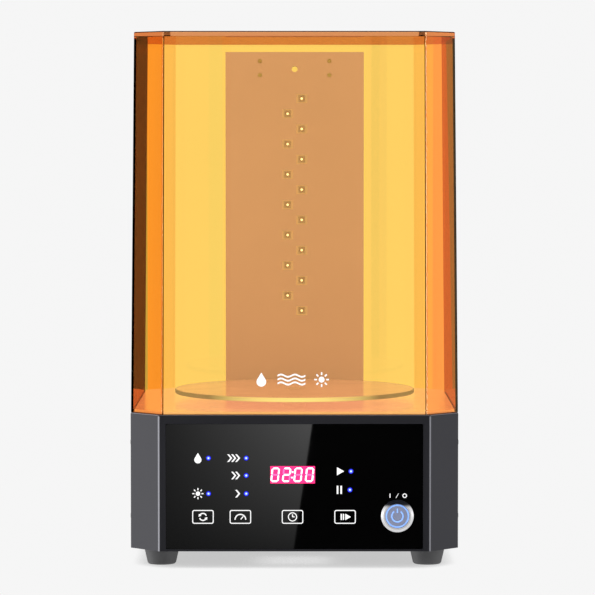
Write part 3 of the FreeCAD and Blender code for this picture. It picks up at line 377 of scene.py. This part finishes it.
def dress_nodes():
    """Gives every CAD node its material."""
    switch = (SWITCH_X * MM, SWITCH_Z * MM)
    # painted highlights on the casing: both front corners and the top bends, stronger on the left
    paint = painted("painted_casing", colour(0.0125, 0.0125, 0.0155), colour(0.0165, 0.0165, 0.0205),
                    0.40, 1100.0, (0.92, 0.92, 1.0, 1.0),
                    (((-0.383, -0.924, 0.0), 0.40), ((0.383, -0.924, 0.0), 0.22),
                     ((0.0, -0.707, 0.707), 0.10), ((-0.5, -0.5, 0.707), 0.28),
                     ((0.5, -0.5, 0.707), 0.16)))
    rubber = moulded("foot_rubber", colour(0.068, 0.068, 0.070), colour(0.088, 0.088, 0.092), 0.5)
    zinc = metal("zinc_plate", (0.62, 0.62, 0.64), 0.3)
    oxide = metal("black_oxide", (0.05, 0.05, 0.055), 0.4)
    steel = metal("ground_steel", (0.72, 0.72, 0.74), 0.22)
    alloy = metal("milled_aluminium", (0.80, 0.80, 0.82), 0.34)
    black = moulded("moulded_black", colour(0.015, 0.015, 0.016), colour(0.025, 0.025, 0.026), 0.5)
    core = painted("motor_paint", colour(0.010, 0.010, 0.011), colour(0.016, 0.016, 0.018), 0.5, 700.0)
    sheet = painted("column_paint", colour(0.67, 0.64, 0.70), colour(0.72, 0.69, 0.75), 0.42, 1300.0)
    green = circuit("green_circuit", colour(0.012, 0.11, 0.04), colour(0.04, 0.20, 0.08))
    # lamp board: painted glow standing in for light from its own lamps
    white = circuit("white_circuit", colour(0.80, 0.62, 0.50), colour(0.74, 0.58, 0.46), 0.42)
    sheath = moulded("lead_sheath", colour(0.02, 0.02, 0.02), colour(0.03, 0.03, 0.03), 0.5)
    # switch chrome: painted shade above 5.5 mm from the switch's centre
    chrome = turned_metal("switch_chrome", (0.90, 0.90, 0.92), 0.24, switch, 0.0004, 0.000004,
                          0.35, 5.5)
    cap = turned_metal("switch_cap", (0.54, 0.60, 0.86), 0.42, switch, 0.00016, 0.00003, 0.6)
    dressed = {
        paint: ["base_casing", "bottom_pan"],
        gloss("gloss_panel", 0.0012, 0.02): ["front_panel"],
        # deck: painted pinkish glow standing in for light falling on it
        metal("deck_sheet", (0.92, 0.88, 0.86), 0.2, (60.0, 900.0, 900.0), 0.55, 0.26): ["deck_plate"],
        rubber: ["foot_front_left", "foot_front_right", "foot_rear_left", "foot_rear_right",
                 "shaft_seal"],
        zinc: ["foot_screws", "side_rivet_nuts", "board_posts", "board_screws", "motor_screws",
               "column_foot_screws", "column_top_screws", "driver_posts", "driver_screws"],
        oxide: ["side_screws", "hub_set_screw"],
        steel: ["touch_springs", "power_button_spring", "motor_bearing_upper",
                "motor_bearing_lower", "motor_shaft"],
        alloy: ["motor_front_bell", "motor_rear_bell", "lamp_heat_bar", "column_foot",
                "column_top_plate"],
        black: ["switch_terminals", "driver_components", "power_inlet", "inlet_nut"],
        core: ["motor_stator", "motor_rotor"],
        moulded("hub_plastic", colour(0.80, 0.78, 0.76), colour(0.86, 0.84, 0.82), 0.4):
            ["drive_hub"],
        sheet: ["column_front", "column_cover"],
        green: ["control_board", "driver_board"],
        white: ["lamp_board"],
        sheath: ["motor_lead", "lamp_lead", "panel_lead", "switch_lead", "inlet_lead"],
        chrome: ["switch_barrel", "switch_nut"],
        cap: ["power_button_cap"],
        glowing("ring_light", (0.22, 0.42, 0.95), 0.75): ["power_button_ring"],
        glowing("display_module", (0.9, 0.02, 0.12), 0.2): ["time_display"],
        glowing("indicator_glow", (0.02, 0.04, 1.0), 0.5): ["indicator_lamps"],
        lamp_package(): ["uv_lamps"],
        clear_acrylic(): ["turntable_disc"],
        amber(): ["amber_hood"],
    }
    for material, names in dressed.items():
        for name in names:
            for holder in NODES[name].material_slots:
                holder.material = material
    bare = [n for n in NODES if not any(n in names for names in dressed.values())]
    if bare:
        raise SystemExit(f"no material for {bare}")


# ---- flat printed shapes -------------------------------------------------------------------------

def arc_points(x, z, radius, start, end, steps=24):
    """Points on an arc, angles in degrees from +X towards +Z."""
    angles = [math.radians(start + (end - start) * i / steps) for i in range(steps + 1)]
    return [(x + radius * math.cos(a), z + radius * math.sin(a)) for a in angles]


def disc(x, z, radius):
    return [arc_points(x, z, radius, 0, 345, 23)]


def ring(x, z, radius, stroke):
    return disc(x, z, radius + stroke / 2) + disc(x, z, radius - stroke / 2)


def band(x, z, radius, stroke, start, end):
    outer = arc_points(x, z, radius + stroke / 2, start, end)
    inner = arc_points(x, z, radius - stroke / 2, start, end)
    return [outer + inner[::-1]]


def bar(x0, z0, x1, z1, stroke):
    """A straight stroke with square ends."""
    along = Vector((x1 - x0, z1 - z0)).normalized() * (stroke / 2)
    side = (-along.y, along.x)
    return [[(x0 + side[0], z0 + side[1]), (x0 - side[0], z0 - side[1]),
             (x1 - side[0], z1 - side[1]), (x1 + side[0], z1 + side[1])]]


def rounded(x, z, wide, high, radius):
    """A rectangle about x, z with round corners."""
    points = []
    for cx, cz, start in ((1, 1, 0), (-1, 1, 90), (-1, -1, 180), (1, -1, 270)):
        points += arc_points(x + cx * (wide / 2 - radius), z + cz * (high / 2 - radius), radius,
                             start, start + 90, 6)
    return [points]


def drop(x, z, size):
    """A water drop of that height, with its point up."""
    radius = size * 0.34
    low = z - size / 2 + radius
    return [arc_points(x, low, radius, -215, 35, 28) + [(x, z + size / 2)]]


def sun(x, z, size):
    shapes = disc(x, z, size * 0.2)
    for i in range(8):
        a = math.radians(45 * i)
        shapes += bar(x + math.cos(a) * size * 0.31, z + math.sin(a) * size * 0.31,
                      x + math.cos(a) * size * 0.5, z + math.sin(a) * size * 0.5, size * 0.1)
    return shapes


def chevrons(x, z, size, count):
    """Arrow heads that point right, ending at x."""
    shapes = []
    reach, thick = size * 0.42, size * 0.24
    for i in range(count):
        tip = x - i * size * 0.52
        shapes.append([(tip, z), (tip - reach, z + size / 2), (tip - reach - thick, z + size / 2),
                       (tip - thick, z), (tip - reach - thick, z - size / 2),
                       (tip - reach, z - size / 2)])
    return shapes


def play(x, z, size):
    return [[(x - size * 0.4, z - size / 2), (x + size * 0.48, z), (x - size * 0.4, z + size / 2)]]


def pause(x, z, size):
    return (bar(x - size * 0.22, z - size / 2, x - size * 0.22, z + size / 2, size * 0.2)
            + bar(x + size * 0.22, z - size / 2, x + size * 0.22, z + size / 2, size * 0.2))


def cycle(x, z, size):
    """Two curved arrows chasing each other."""
    shapes = []
    for turn in (0, 180):
        shapes += band(x, z, size * 0.36, size * 0.12, turn + 20, turn + 140)
        a = math.radians(turn + 140)
        head = Vector((x + math.cos(a) * size * 0.36, z + math.sin(a) * size * 0.36))
        out = Vector((math.cos(a), math.sin(a))) * size * 0.17
        ahead = Vector((-math.sin(a), math.cos(a)))
        tip = head + ahead * size * 0.28
        root = head + ahead * size * 0.012
        shapes.append([tuple(root + out), tuple(root - out), tuple(tip)])
    return shapes


def gauge(x, z, size):
    """A dial with a pointer, for speed."""
    low = z - size * 0.2
    shapes = band(x, low, size * 0.48, size * 0.1, 0, 180)
    shapes += bar(x + size * 0.03, low + size * 0.03, x + size * 0.26, low + size * 0.30, size * 0.09)
    return shapes


def clock(x, z, size):
    shapes = ring(x, z, size * 0.44, size * 0.1)
    shapes += [[(x - size * 0.05, z - size * 0.04), (x + size * 0.22, z - size * 0.04),
                (x + size * 0.22, z + size * 0.06), (x + size * 0.05, z + size * 0.06),
                (x + size * 0.05, z + size * 0.28), (x - size * 0.05, z + size * 0.28)]]
    return shapes


def waves(x, z, wide, stroke):
    """Three ripples, one over another."""
    shapes = []
    for row in (-1, 0, 1):
        level = z + row * stroke * 2.3
        steps = 24
        upper, lower = [], []
        for i in range(steps + 1):
            across = x - wide / 2 + wide * i / steps
            rise = math.sin(i / steps * 4 * math.pi) * stroke * 0.7
            upper.append((across, level + rise + stroke / 2))
            lower.append((across, level + rise - stroke / 2))
        shapes.append(upper + lower[::-1])
    return shapes


def printed(name, shapes, y, body, material, thick=0.04):
    """Closed outlines in millimetres, as a thin solid that faces the front at depth y."""
    flat = bpy.data.curves.new(name, "CURVE")
    flat.dimensions = "2D"
    flat.fill_mode = "BOTH"
    flat.extrude = thick / 2 * MM
    for points in shapes:
        line = flat.splines.new("POLY")
        line.points.add(len(points) - 1)
        for spot, (x, z) in zip(line.points, points):
            spot.co = (x * MM, z * MM, 0, 1)
        line.use_cyclic_u = True
    holder = bpy.data.objects.new(name + "_outline", flat)
    bpy.context.scene.collection.objects.link(holder)
    bpy.context.view_layer.update()
    mesh = bpy.data.meshes.new_from_object(
        holder.evaluated_get(bpy.context.evaluated_depsgraph_get()))
    bpy.data.objects.remove(holder)
    bpy.data.curves.remove(flat)
    for vertex in mesh.vertices:
        x, z, out = vertex.co
        vertex.co = (x, y - thick / 2 * MM - out, z)
    mesh.name = name
    mesh.materials.clear()
    mesh.materials.append(material)
    made = bpy.data.objects.new(name, mesh)
    bpy.context.scene.collection.objects.link(made)
    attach(made, body)
    return made


# ---- control panel -------------------------------------------------------------------------------

KEY_Z = 35.6
KEYS = {"mode": -62.3, "speed": -36.8, "time": -1.3, "start": 34.5}
KEY_WIDE, KEY_HIGH, KEY_STROKE = 14.6, 9.4, 0.62
SWITCH_MARK_Z = 50.1
INDICATORS = [(-58.5, 75.8), (-58.5, 51.5), (-32.8, 75.8), (-32.8, 63.9), (-32.8, 51.5),
              (38.5, 66.8), (37.8, 54.1)]
INDICATOR_RADIUS = 1.75
DISPLAY_X, DISPLAY_Z = -1.2, 64.4
DISPLAY_WIDE, DISPLAY_HIGH = 30.4, 11.8
DIGIT_X = (-13.1, -5.3, 2.5, 10.3)
DIGIT_WIDE, DIGIT_HIGH, DIGIT_STROKE, DIGIT_SLANT = 4.5, 8.8, 1.15, 0.10
SEGMENTS = {"0": "abcdef", "2": "abged"}


def panel_prints(ink):
    face = panel_low.y
    marks = {
        "wash_mark": drop(-65.7, 75.8, 7.2),
        "cure_mark": sun(-65.7, 51.5, 7.6),
        "fast_mark": chevrons(-36.9, 75.8, 5.2, 3),
        "medium_mark": chevrons(-36.9, 63.9, 5.2, 2),
        "slow_mark": chevrons(-36.9, 51.5, 5.2, 1),
        "run_mark": play(31.2, 66.8, 5.6),
        "hold_mark": pause(30.6, 54.1, 5.6),
        "mode_key_mark": cycle(KEYS["mode"], KEY_Z, 6.6),
        "speed_key_mark": gauge(KEYS["speed"], KEY_Z - 0.4, 7.6),
        "time_key_mark": clock(KEYS["time"], KEY_Z, 6.4),
        "start_key_mark": play(KEYS["start"] + 1.9, KEY_Z, 4.4) + [
            line for offset in (-2.6, -1.1)
            for line in bar(KEYS["start"] + offset, KEY_Z - 2.1, KEYS["start"] + offset,
                            KEY_Z + 2.1, 0.9)],
    }
    for name, shapes in marks.items():
        printed(name, shapes, face, "base", ink)
    for name, x in KEYS.items():
        frame_shape = rounded(x, KEY_Z, KEY_WIDE, KEY_HIGH, 1.4)
        frame_shape += rounded(x, KEY_Z, KEY_WIDE - 2 * KEY_STROKE, KEY_HIGH - 2 * KEY_STROKE, 0.9)
        printed(name + "_key_frame", frame_shape, face, "base", ink)
    x, z = SWITCH_X, SWITCH_MARK_Z
    printed("switch_marks", bar(x - 5, z - 1.4, x - 5, z + 1.4, 0.6)
            + bar(x - 1.0, z - 1.5, x + 0.8, z + 1.5, 0.35) + ring(x + 5, z, 1.25, 0.6),
            face, "base", ink)


def display(lit, dim, window):
    """Lit window with four slanted seven-stroke digits and a colon."""
    face = panel_low.y
    printed("display_window", rounded(DISPLAY_X, DISPLAY_Z, DISPLAY_WIDE, DISPLAY_HIGH, 0.3), face,
            "base", window, 0.06)
    half_w, half_h, cut = DIGIT_WIDE / 2, DIGIT_HIGH / 2, DIGIT_STROKE * 0.12
    ends = {
        "a": (-half_w, half_h, half_w, half_h), "g": (-half_w, 0, half_w, 0),
        "d": (-half_w, -half_h, half_w, -half_h), "f": (-half_w, 0, -half_w, half_h),
        "b": (half_w, 0, half_w, half_h), "e": (-half_w, -half_h, -half_w, 0),
        "c": (half_w, -half_h, half_w, 0),
    }

    def stroke(x, segment):
        x0, z0, x1, z1 = ends[segment]
        along = Vector((x1 - x0, z1 - z0)).normalized()
        first = Vector((x0, z0)) + along * (DIGIT_STROKE / 2 + cut)
        last = Vector((x1, z1)) - along * (DIGIT_STROKE / 2 + cut)
        side = Vector((-along.y, along.x)) * DIGIT_STROKE / 2
        tip = along * DIGIT_STROKE / 2
        corners = (first - tip, first + side, last + side, last + tip, last - side, first - side)
        return [[(x + p.x + p.y * DIGIT_SLANT, DISPLAY_Z + p.y) for p in corners]]

    on, off = [], []
    for digit, x in zip("0200", DIGIT_X):
        for segment in ends:
            (on if segment in SEGMENTS[digit] else off).extend(stroke(x, segment))
    for level in (-1.9, 1.9):
        on += disc(-1.45 + level * DIGIT_SLANT, DISPLAY_Z + level, 0.62)
    printed("display_digits", on, face - 0.06 * MM, "base", lit)
    printed("display_unlit_strokes", off, face - 0.06 * MM, "base", dim)


def indicators(lens):
    """Seven low domes over the panel's lamps."""
    profile = [(0.0, 0.30), (0.5, 0.27), (0.95, 0.19), (1.35, 0.10), (INDICATOR_RADIUS, 0.0)]
    steps = 24
    for i, (x, z) in enumerate(INDICATORS, 1):
        mesh = bpy.data.meshes.new(f"indicator_{i}")
        form = bmesh.new()
        loops = []
        for radius, height in profile[1:]:
            loops.append([form.verts.new((radius * MM * math.cos(2 * math.pi * k / steps),
                                          -height * MM,
                                          radius * MM * math.sin(2 * math.pi * k / steps)))
                          for k in range(steps)])
        top = form.verts.new((0, -profile[0][1] * MM, 0))
        for k in range(steps):
            after = (k + 1) % steps
            form.faces.new((top, loops[0][k], loops[0][after]))
            for inner, outer in zip(loops, loops[1:]):
                form.faces.new((inner[k], outer[k], outer[after], inner[after]))
        form.faces.new(loops[-1])
        bmesh.ops.recalc_face_normals(form, faces=form.faces)
        for face in form.faces:
            face.smooth = len(face.verts) < 5
        form.to_mesh(mesh)
        form.free()
        mesh.materials.append(lens)
        made = bpy.data.objects.new(f"indicator_{i}", mesh)
        made.location = (x * MM, panel_low.y, z * MM)
        bpy.context.scene.collection.objects.link(made)
        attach(made, "base")


def power_symbol(light):
    """The lit ring and bar on the switch's cap."""
    x, z = SWITCH_X, SWITCH_Z
    shapes = band(x, z - 0.1, 3.85, 0.8, 125, 415) + bar(x, z + 2.2, x, z + 5.1, 0.8)
    printed("power_symbol", shapes, cap_low.y, "power_button", light, 0.05)


# ---- hood mark -----------------------------------------------------------------------------------

HOOD_DRAFT = 2.7 * MM


def hood_mark(ink):
    """Drop, ripples and sun, printed across the hood's front face, which leans back a little."""
    x, z = -2.0, 129.3
    lean = HOOD_DRAFT / (hood_high.z - hood_low.z)
    shapes = (drop(x - 20.5, z, 9.6) + waves(x, z, 19.0, 1.15) + sun(x + 20.5, z, 10.0))
    made = printed("hood_print", shapes, 0.0, "hood", ink)
    for vertex in made.data.vertices:
        vertex.co.y += hood_low.y + (vertex.co.z - hood_low.z) * lean


# ---- stage ---------------------------------------------------------------------------------------

SOFT_BOXES = (
    ((-1.0, 0.10, 0.0), 16, 48, 1.9),
    ((-0.93, -0.38, 0.0), 4, 15, 1.2),
    ((-0.72, -0.69, 0.0), 4, 15, 4.0),
    ((1.0, 0.10, 0.0), 16, 48, 0.45),
    ((0.93, -0.38, 0.0), 4, 15, 1.8),
    ((0.72, -0.69, 0.0), 4, 15, 3.0),
    ((0.0, 0.0, -1.0), 30, 75, 0.45),
)
STRIP_LIGHTS = (
    ((1.0, 0.05, 0.0), 12, 30, 1.5),
    ((-0.66, -0.75, 0.0), 3, 9, 6.0),
    ((0.70, -0.71, 0.0), 12, 28, 11.0),
)
CARD_REACH = 0.06
CARDS = (
    (-0.0600, colour(1.0, 1.0, 1.0)),
    (-0.0560, colour(0.53, 0.94, 1.0)),
    (-0.0475, colour(1.0, 0.78, 0.40)),
    (-0.0425, colour(1.0, 1.0, 1.0)),
    (0.0425, colour(1.0, 0.78, 1.0)),
    (0.0464, colour(0.06, 0.05, 0.07)),
    (0.0512, colour(0.5, 0.35, 0.5)),
    (0.0560, colour(1.0, 1.0, 1.0)),
)


def add_lobes(tree, way, lights, level):
    """The level of light from each direction with these lights added to it."""
    for toward, inner, outer, strength in lights:
        glow = maths(tree, "MULTIPLY", lobe(tree, way, toward, inner, outer), strength)
        level = maths(tree, "ADD", level, glow)
    return level


def studio():
    """White page behind, soft boxes at the sides and a dark front for polished surfaces to reflect,
    and narrow cards far behind the hood's edges, seen only through it."""
    world = bpy.data.worlds.new("studio")
    bpy.context.scene.world = world
    world.use_nodes = True
    world.cycles.sampling_method = "NONE"
    tree = world.node_tree
    tree.nodes.clear()
    way = add(tree, "TexCoord").outputs["Generated"]
    parts = add(tree, "SeparateXYZ", _0=way)
    light = add(tree, "LightPath")
    front = lobe(tree, way, (0.0, -1.0, 0.0), 30, 66)
    ceiling = lobe(tree, way, (0.0, -0.25, 1.0), 25, 60)
    dark = maths(tree, "MAXIMUM", front, ceiling)
    level = maths(tree, "MULTIPLY", maths(tree, "SUBTRACT", 1.0, dark), ROOM_LIGHT)
    shine = add(tree, "Background", Strength=add_lobes(tree, way, SOFT_BOXES, level))
    tall = span(tree, maths(tree, "ABSOLUTE", parts.outputs[2]), 0.12, 0.2, 1.0, 0.0)
    strips = maths(tree, "MULTIPLY", add_lobes(tree, way, STRIP_LIGHTS, 0.0), tall)
    glint = add(tree, "Background", Strength=strips)
    page = add(tree, "Background", Color=colour(PAGE_WHITE, PAGE_WHITE, PAGE_WHITE))
    fill = add(tree, "Background", Strength=FILL_LIGHT)
    across = maths(tree, "DIVIDE", parts.outputs[0], maths(tree, "MAXIMUM", parts.outputs[1], 0.5))
    cards = ramp(tree, span(tree, across, -CARD_REACH, CARD_REACH),
                 [((spot + CARD_REACH) / (2 * CARD_REACH), tint) for spot, tint in CARDS], True)
    through = add(tree, "Background", Color=cards, Strength=LIGHT_BEHIND_HOOD)
    mixed = add(tree, "MixShader", _0=light.outputs["Is Glossy Ray"], _1=page.outputs[0],
                _2=shine.outputs[0])
    mixed = add(tree, "MixShader", _0=light.outputs["Is Singular Ray"], _1=mixed.outputs[0],
                _2=glint.outputs[0])
    mixed = add(tree, "MixShader", _0=light.outputs["Is Transmission Ray"], _1=mixed.outputs[0],
                _2=through.outputs[0])
    scattered = maths(tree, "MINIMUM", light.outputs["Diffuse Depth"], 1.0)
    scattered = maths(tree, "MAXIMUM", scattered, light.outputs["Is Diffuse Ray"])
    mixed = add(tree, "MixShader", _0=scattered, _1=mixed.outputs[0], _2=fill.outputs[0])
    add(tree, "OutputWorld", Surface=mixed.outputs[0])


def floor():
    """Pale glowing floor with a painted contact shadow where the machine is close, fading into the
    page round its edge.
    """
    mesh = bpy.data.meshes.new("floor")
    form = bmesh.new()
    bmesh.ops.create_circle(form, cap_ends=True, radius=1.6, segments=96)
    form.to_mesh(mesh)
    form.free()
    made = bpy.data.objects.new("floor", mesh)
    bpy.context.scene.collection.objects.link(made)
    material = bpy.data.materials.new("floor")
    material.use_nodes = True
    tree = material.node_tree
    tree.nodes.clear()
    out = add(tree, "VectorMath", {"operation": "LENGTH"}, _0=places(tree)).outputs["Value"]
    # painted contact shadow: the glow drops to 58 percent where ambient occlusion finds the machine
    # close
    painted_shadow_ao = add(tree, "AmbientOcclusion", {"samples": 8}, Distance=0.06).outputs["AO"]
    pale = span(tree, painted_shadow_ao, 0.0, 0.5, PAGE_WHITE * 0.58, PAGE_WHITE, smooth=True)
    lit = add(tree, "Emission", Strength=pale)
    clear = add(tree, "BsdfTransparent")
    mixed = add(tree, "MixShader", _0=span(tree, out, 0.25, 0.6, smooth=True), _1=lit.outputs[0],
                _2=clear.outputs[0])
    add(tree, "OutputMaterial", Surface=mixed.outputs[0])
    mesh.materials.append(material)
    made.visible_glossy = False


SHEEN_EDGE_LOW, SHEEN_EDGE_HIGH = -0.0007, 0.0122


def reflected_card():
    """A card with a slanted edge in front of the machine, seen only as a sheen on the panel."""
    ahead = 0.5
    eye = bpy.context.scene.camera.location
    away = panel_low.y - eye.y
    share = ahead / away

    def seen_at(x, z):
        """Where the camera's view, mirrored at that point of the panel, meets the card."""
        return (x + (x - eye.x) * share, panel_low.y - ahead, z + (z - eye.z) * share)

    left = panel_low.x - 0.03
    top, bottom = panel_high.z + 0.001, panel_low.z - 0.001
    corners = [seen_at(left, bottom), seen_at(SHEEN_EDGE_LOW, bottom),
               seen_at(SHEEN_EDGE_HIGH, top), seen_at(left, top)]
    mesh = bpy.data.meshes.new("reflected_card")
    mesh.from_pydata(corners, [], [(0, 1, 2, 3)])
    made = bpy.data.objects.new("reflected_card", mesh)
    bpy.context.scene.collection.objects.link(made)
    material = bpy.data.materials.new("reflected_card")
    material.use_nodes = True
    tree = material.node_tree
    tree.nodes.clear()
    where = add(tree, "SeparateXYZ", _0=places(tree))
    across = span(tree, where.outputs[0], corners[0][0], corners[2][0])
    up = span(tree, where.outputs[2], corners[0][2], corners[2][2])
    rise = maths(tree, "POWER", across, 1.3)
    lift = span(tree, up, 0.0, 1.0, 0.12, 1.0)
    level = maths(tree, "ADD", maths(tree, "MULTIPLY", maths(tree, "MULTIPLY", rise, lift), 1.6), 0.16)
    glow = add(tree, "Emission", Strength=level)
    add(tree, "OutputMaterial", Surface=glow.outputs[0])
    mesh.materials.append(material)
    for flag in ("visible_camera", "visible_diffuse", "visible_transmission",
                 "visible_volume_scatter", "visible_shadow"):
        setattr(made, flag, False)


# ---- put together --------------------------------------------------------------------------------

bpy.context.scene.view_settings.view_transform = "Standard"
make_camera()
dress_nodes()
# white ink brightened by a painted glow, for the panel and hood prints
ink = ink_with_painted_glow()
panel_prints(ink)
display(glowing("digit_light", (1.0, 0.92, 0.97), 1.0, 0.95),
        glowing("unlit_stroke", (1.0, 0.12, 0.36), 0.9, 0.9),
        glowing("display_window", (1.0, 0.015, 0.17), 0.95, 0.85))
indicators(indicator_lens(INDICATOR_RADIUS * MM))
power_symbol(glowing("symbol_light", (0.22, 0.42, 0.95), 0.75, 0.9))
hood_mark(ink)
studio()
floor()
reflected_card()
